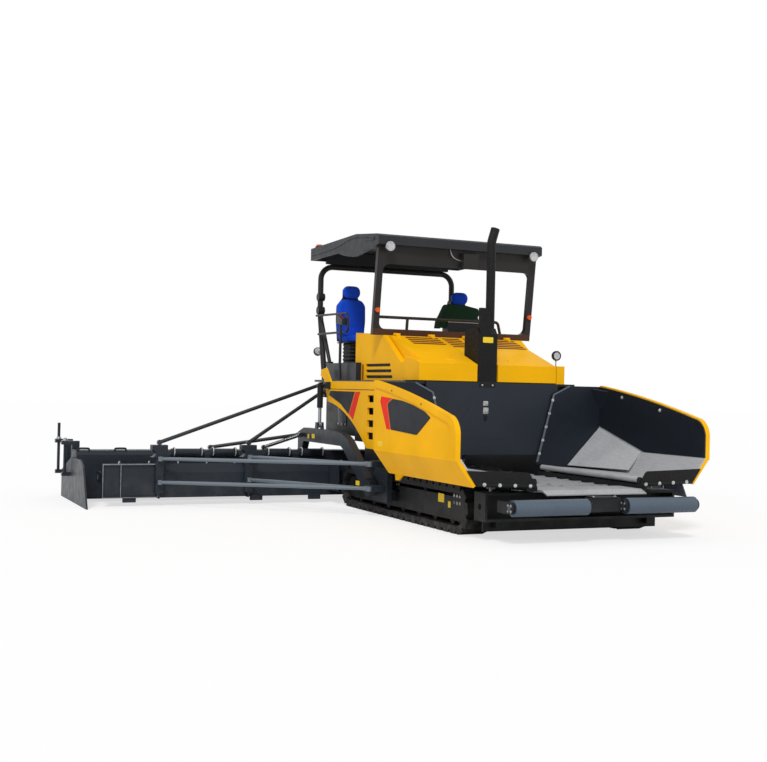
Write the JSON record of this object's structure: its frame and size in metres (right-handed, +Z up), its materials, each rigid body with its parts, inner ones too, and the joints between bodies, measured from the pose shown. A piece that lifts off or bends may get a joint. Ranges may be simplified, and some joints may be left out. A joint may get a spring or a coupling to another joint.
{
  "type": "tracked road paver",
  "caption": "Tracked road paver: hopper with folding wings, slat conveyors, spreading augers and a wide towed screed behind, with seats and a canopy on the deck.",
  "frame": {"origin": "on the ground below the middle of the machine's outline", "axes": "+X to the machine's left, along the screed; +Y to its rear; +Z up. The hopper faces -Y."},
  "size_m": [9.68, 6.698, 3.7555],
  "materials": {
    "body_paint": "gloss",
    "dark_paint": "semi-gloss",
    "worn_steel": "worn",
    "track_steel": "matt",
    "roller_steel": "rolled",
    "polished_rod": "polished",
    "black_rubber": "matt",
    "engine_iron": "matt",
    "stack_black": "matt",
    "canopy_shell": "semi-gloss",
    "frame_tube": "semi-gloss",
    "seat_cloth": "woven",
    "cover_cloth": "woven",
    "lamp_lens": "clear",
    "amber_lens": "clear"
  },
  "bodies": {
    "tractor": {"auger_support": "dark_paint", "brace_rods": "polished_rod", "canopy_front_frame": "frame_tube", "canopy_rear_hoop": "frame_tube", "canopy_roof": "canopy_shell", "chassis_plates": "worn_steel", "chassis_sides": "dark_paint", "console_cover": "cover_cloth", "conveyors": "worn_steel", "deck_fittings": "dark_paint", "deck_lockers": "dark_paint", "deck_plate": "dark_paint", "engine_block": "engine_iron", "exhaust_stack": "stack_black", "front_beam": "dark_paint", "front_lip": "worn_steel", "handrails": "frame_tube", "hinge_rails": "dark_paint", "hood_shell": "body_paint", "hopper_wall": "dark_paint", "marker_lamps": "amber_lens", "seats": "seat_cloth", "side_fairings": "body_paint", "side_tanks": "dark_paint", "tow_brackets": "dark_paint", "track_frames": "dark_paint", "track_loop_left": "track_steel", "track_loop_right": "track_steel", "track_wheels": "track_steel", "work_lamps": "lamp_lens"},
    "wing_left": {"wing_shell_left": "worn_steel", "wing_skin_left": "body_paint", "wing_flap_left": "black_rubber"},
    "wing_barrel_left": {"wing_barrel_left": "dark_paint"},
    "wing_rod_left": {"wing_rod_left": "polished_rod"},
    "wing_right": {"wing_shell_right": "worn_steel", "wing_skin_right": "body_paint", "wing_flap_right": "black_rubber"},
    "wing_barrel_right": {"wing_barrel_right": "dark_paint"},
    "wing_rod_right": {"wing_rod_right": "polished_rod"},
    "screed": {"tow_arm_left": "dark_paint", "tow_arm_right": "dark_paint", "screed_centre": "dark_paint", "screed_extension_left": "dark_paint", "screed_extension_right": "dark_paint", "screed_stays": "polished_rod"},
    "lift_barrel_left": {"lift_barrel_left": "dark_paint"},
    "lift_rod_left": {"lift_rod_left": "polished_rod"},
    "end_gate_left": {"end_gate_left": "dark_paint"},
    "hood_lid_left": {"hood_lid_left": "body_paint"},
    "lift_barrel_right": {"lift_barrel_right": "dark_paint"},
    "lift_rod_right": {"lift_rod_right": "polished_rod"},
    "end_gate_right": {"end_gate_right": "dark_paint"},
    "hood_lid_right": {"hood_lid_right": "body_paint"},
    "push_beam": {"push_beam": "dark_paint"},
    "push_roller_left": {"push_roller_left": "roller_steel"},
    "auger_left": {"auger_left": "worn_steel"},
    "push_roller_right": {"push_roller_right": "roller_steel"},
    "auger_right": {"auger_right": "worn_steel"}
  },
  "joints": [
    {"name": "wing_left_fold", "type": "hinge", "parent": "tractor", "child": "wing_left", "pos_m": [0.7, -1.821, 0.65], "axis": [0, -1, 0], "range_deg": [0, 45]},
    {"name": "wing_barrel_left_swing", "type": "hinge", "parent": "tractor", "child": "wing_barrel_left", "pos_m": [1, -2.489, 0.185], "axis": [0, -1, 0], "range_deg": [0, 1.49]},
    {"name": "wing_rod_left_slide", "type": "slide", "parent": "wing_barrel_left", "child": "wing_rod_left", "axis": [0, 0, 1], "range_m": [0, 0.23695]},
    {"name": "wing_right_fold", "type": "hinge", "parent": "tractor", "child": "wing_right", "pos_m": [-0.7, -1.821, 0.65], "axis": [0, 1, 0], "range_deg": [0, 45]},
    {"name": "wing_barrel_right_swing", "type": "hinge", "parent": "tractor", "child": "wing_barrel_right", "pos_m": [-1, -2.489, 0.185], "axis": [0, 1, 0], "range_deg": [0, 1.49]},
    {"name": "wing_rod_right_slide", "type": "slide", "parent": "wing_barrel_right", "child": "wing_rod_right", "axis": [0, 0, 1], "range_m": [0, 0.23695]},
    {"name": "screed_lift", "type": "hinge", "parent": "tractor", "child": "screed", "pos_m": [0, -0.071, 0.35], "axis": [1, 0, 0], "range_deg": [0, 6]},
    {"name": "lift_barrel_left_swing", "type": "hinge", "parent": "tractor", "child": "lift_barrel_left", "pos_m": [1.4, 1.779, 1.65], "axis": [-1, 0, 0], "range_deg": [0, 12.23]},
    {"name": "lift_rod_left_slide", "type": "slide", "parent": "lift_barrel_left", "child": "lift_rod_left", "axis": [0, 0, 1], "range_m": [0, 0.18485]},
    {"name": "end_gate_left_slide", "type": "slide", "parent": "screed", "child": "end_gate_left", "axis": [0, 0, 1], "range_m": [0, 0.15]},
    {"name": "hood_lid_left_open", "type": "hinge", "parent": "tractor", "child": "hood_lid_left", "pos_m": [0.495, 0.379, 2.353], "axis": [-1, 0, 0], "range_deg": [0, 50]},
    {"name": "lift_barrel_right_swing", "type": "hinge", "parent": "tractor", "child": "lift_barrel_right", "pos_m": [-1.4, 1.779, 1.65], "axis": [-1, 0, 0], "range_deg": [0, 12.23]},
    {"name": "lift_rod_right_slide", "type": "slide", "parent": "lift_barrel_right", "child": "lift_rod_right", "axis": [0, 0, 1], "range_m": [0, 0.18485]},
    {"name": "end_gate_right_slide", "type": "slide", "parent": "screed", "child": "end_gate_right", "axis": [0, 0, 1], "range_m": [0, 0.15]},
    {"name": "hood_lid_right_open", "type": "hinge", "parent": "tractor", "child": "hood_lid_right", "pos_m": [-0.6075, 0.379, 2.353], "axis": [-1, 0, 0], "range_deg": [0, 50]},
    {"name": "push_beam_swing", "type": "hinge", "parent": "tractor", "child": "push_beam", "pos_m": [0, -2.961, 0.4], "axis": [0, 0, 1], "range_deg": [-6, 6]},
    {"name": "push_roller_left_spin", "type": "hinge", "parent": "push_beam", "child": "push_roller_left", "pos_m": [0.712, -3.261, 0.4], "axis": [1, 0, 0], "continuous": true},
    {"name": "auger_left_spin", "type": "hinge", "parent": "tractor", "child": "auger_left", "pos_m": [2.28, 1.914, 0.37], "axis": [1, 0, 0], "continuous": true},
    {"name": "push_roller_right_spin", "type": "hinge", "parent": "push_beam", "child": "push_roller_right", "pos_m": [-0.712, -3.261, 0.4], "axis": [1, 0, 0], "continuous": true},
    {"name": "auger_right_spin", "type": "hinge", "parent": "tractor", "child": "auger_right", "pos_m": [-2.28, 1.914, 0.37], "axis": [1, 0, 0], "continuous": true}
  ],
  "couplings": [
    {"joint": "wing_barrel_left_swing", "follows": "wing_left_fold", "ratio": 0.033096},
    {"joint": "wing_rod_left_slide", "follows": "wing_left_fold", "m_per_rad": 0.30169},
    {"joint": "wing_barrel_right_swing", "follows": "wing_right_fold", "ratio": 0.033096},
    {"joint": "wing_rod_right_slide", "follows": "wing_right_fold", "m_per_rad": 0.30169},
    {"joint": "lift_barrel_left_swing", "follows": "screed_lift", "ratio": 2.039},
    {"joint": "lift_rod_left_slide", "follows": "screed_lift", "m_per_rad": 1.7652},
    {"joint": "lift_barrel_right_swing", "follows": "screed_lift", "ratio": 2.039},
    {"joint": "lift_rod_right_slide", "follows": "screed_lift", "m_per_rad": 1.7652}
  ]
}
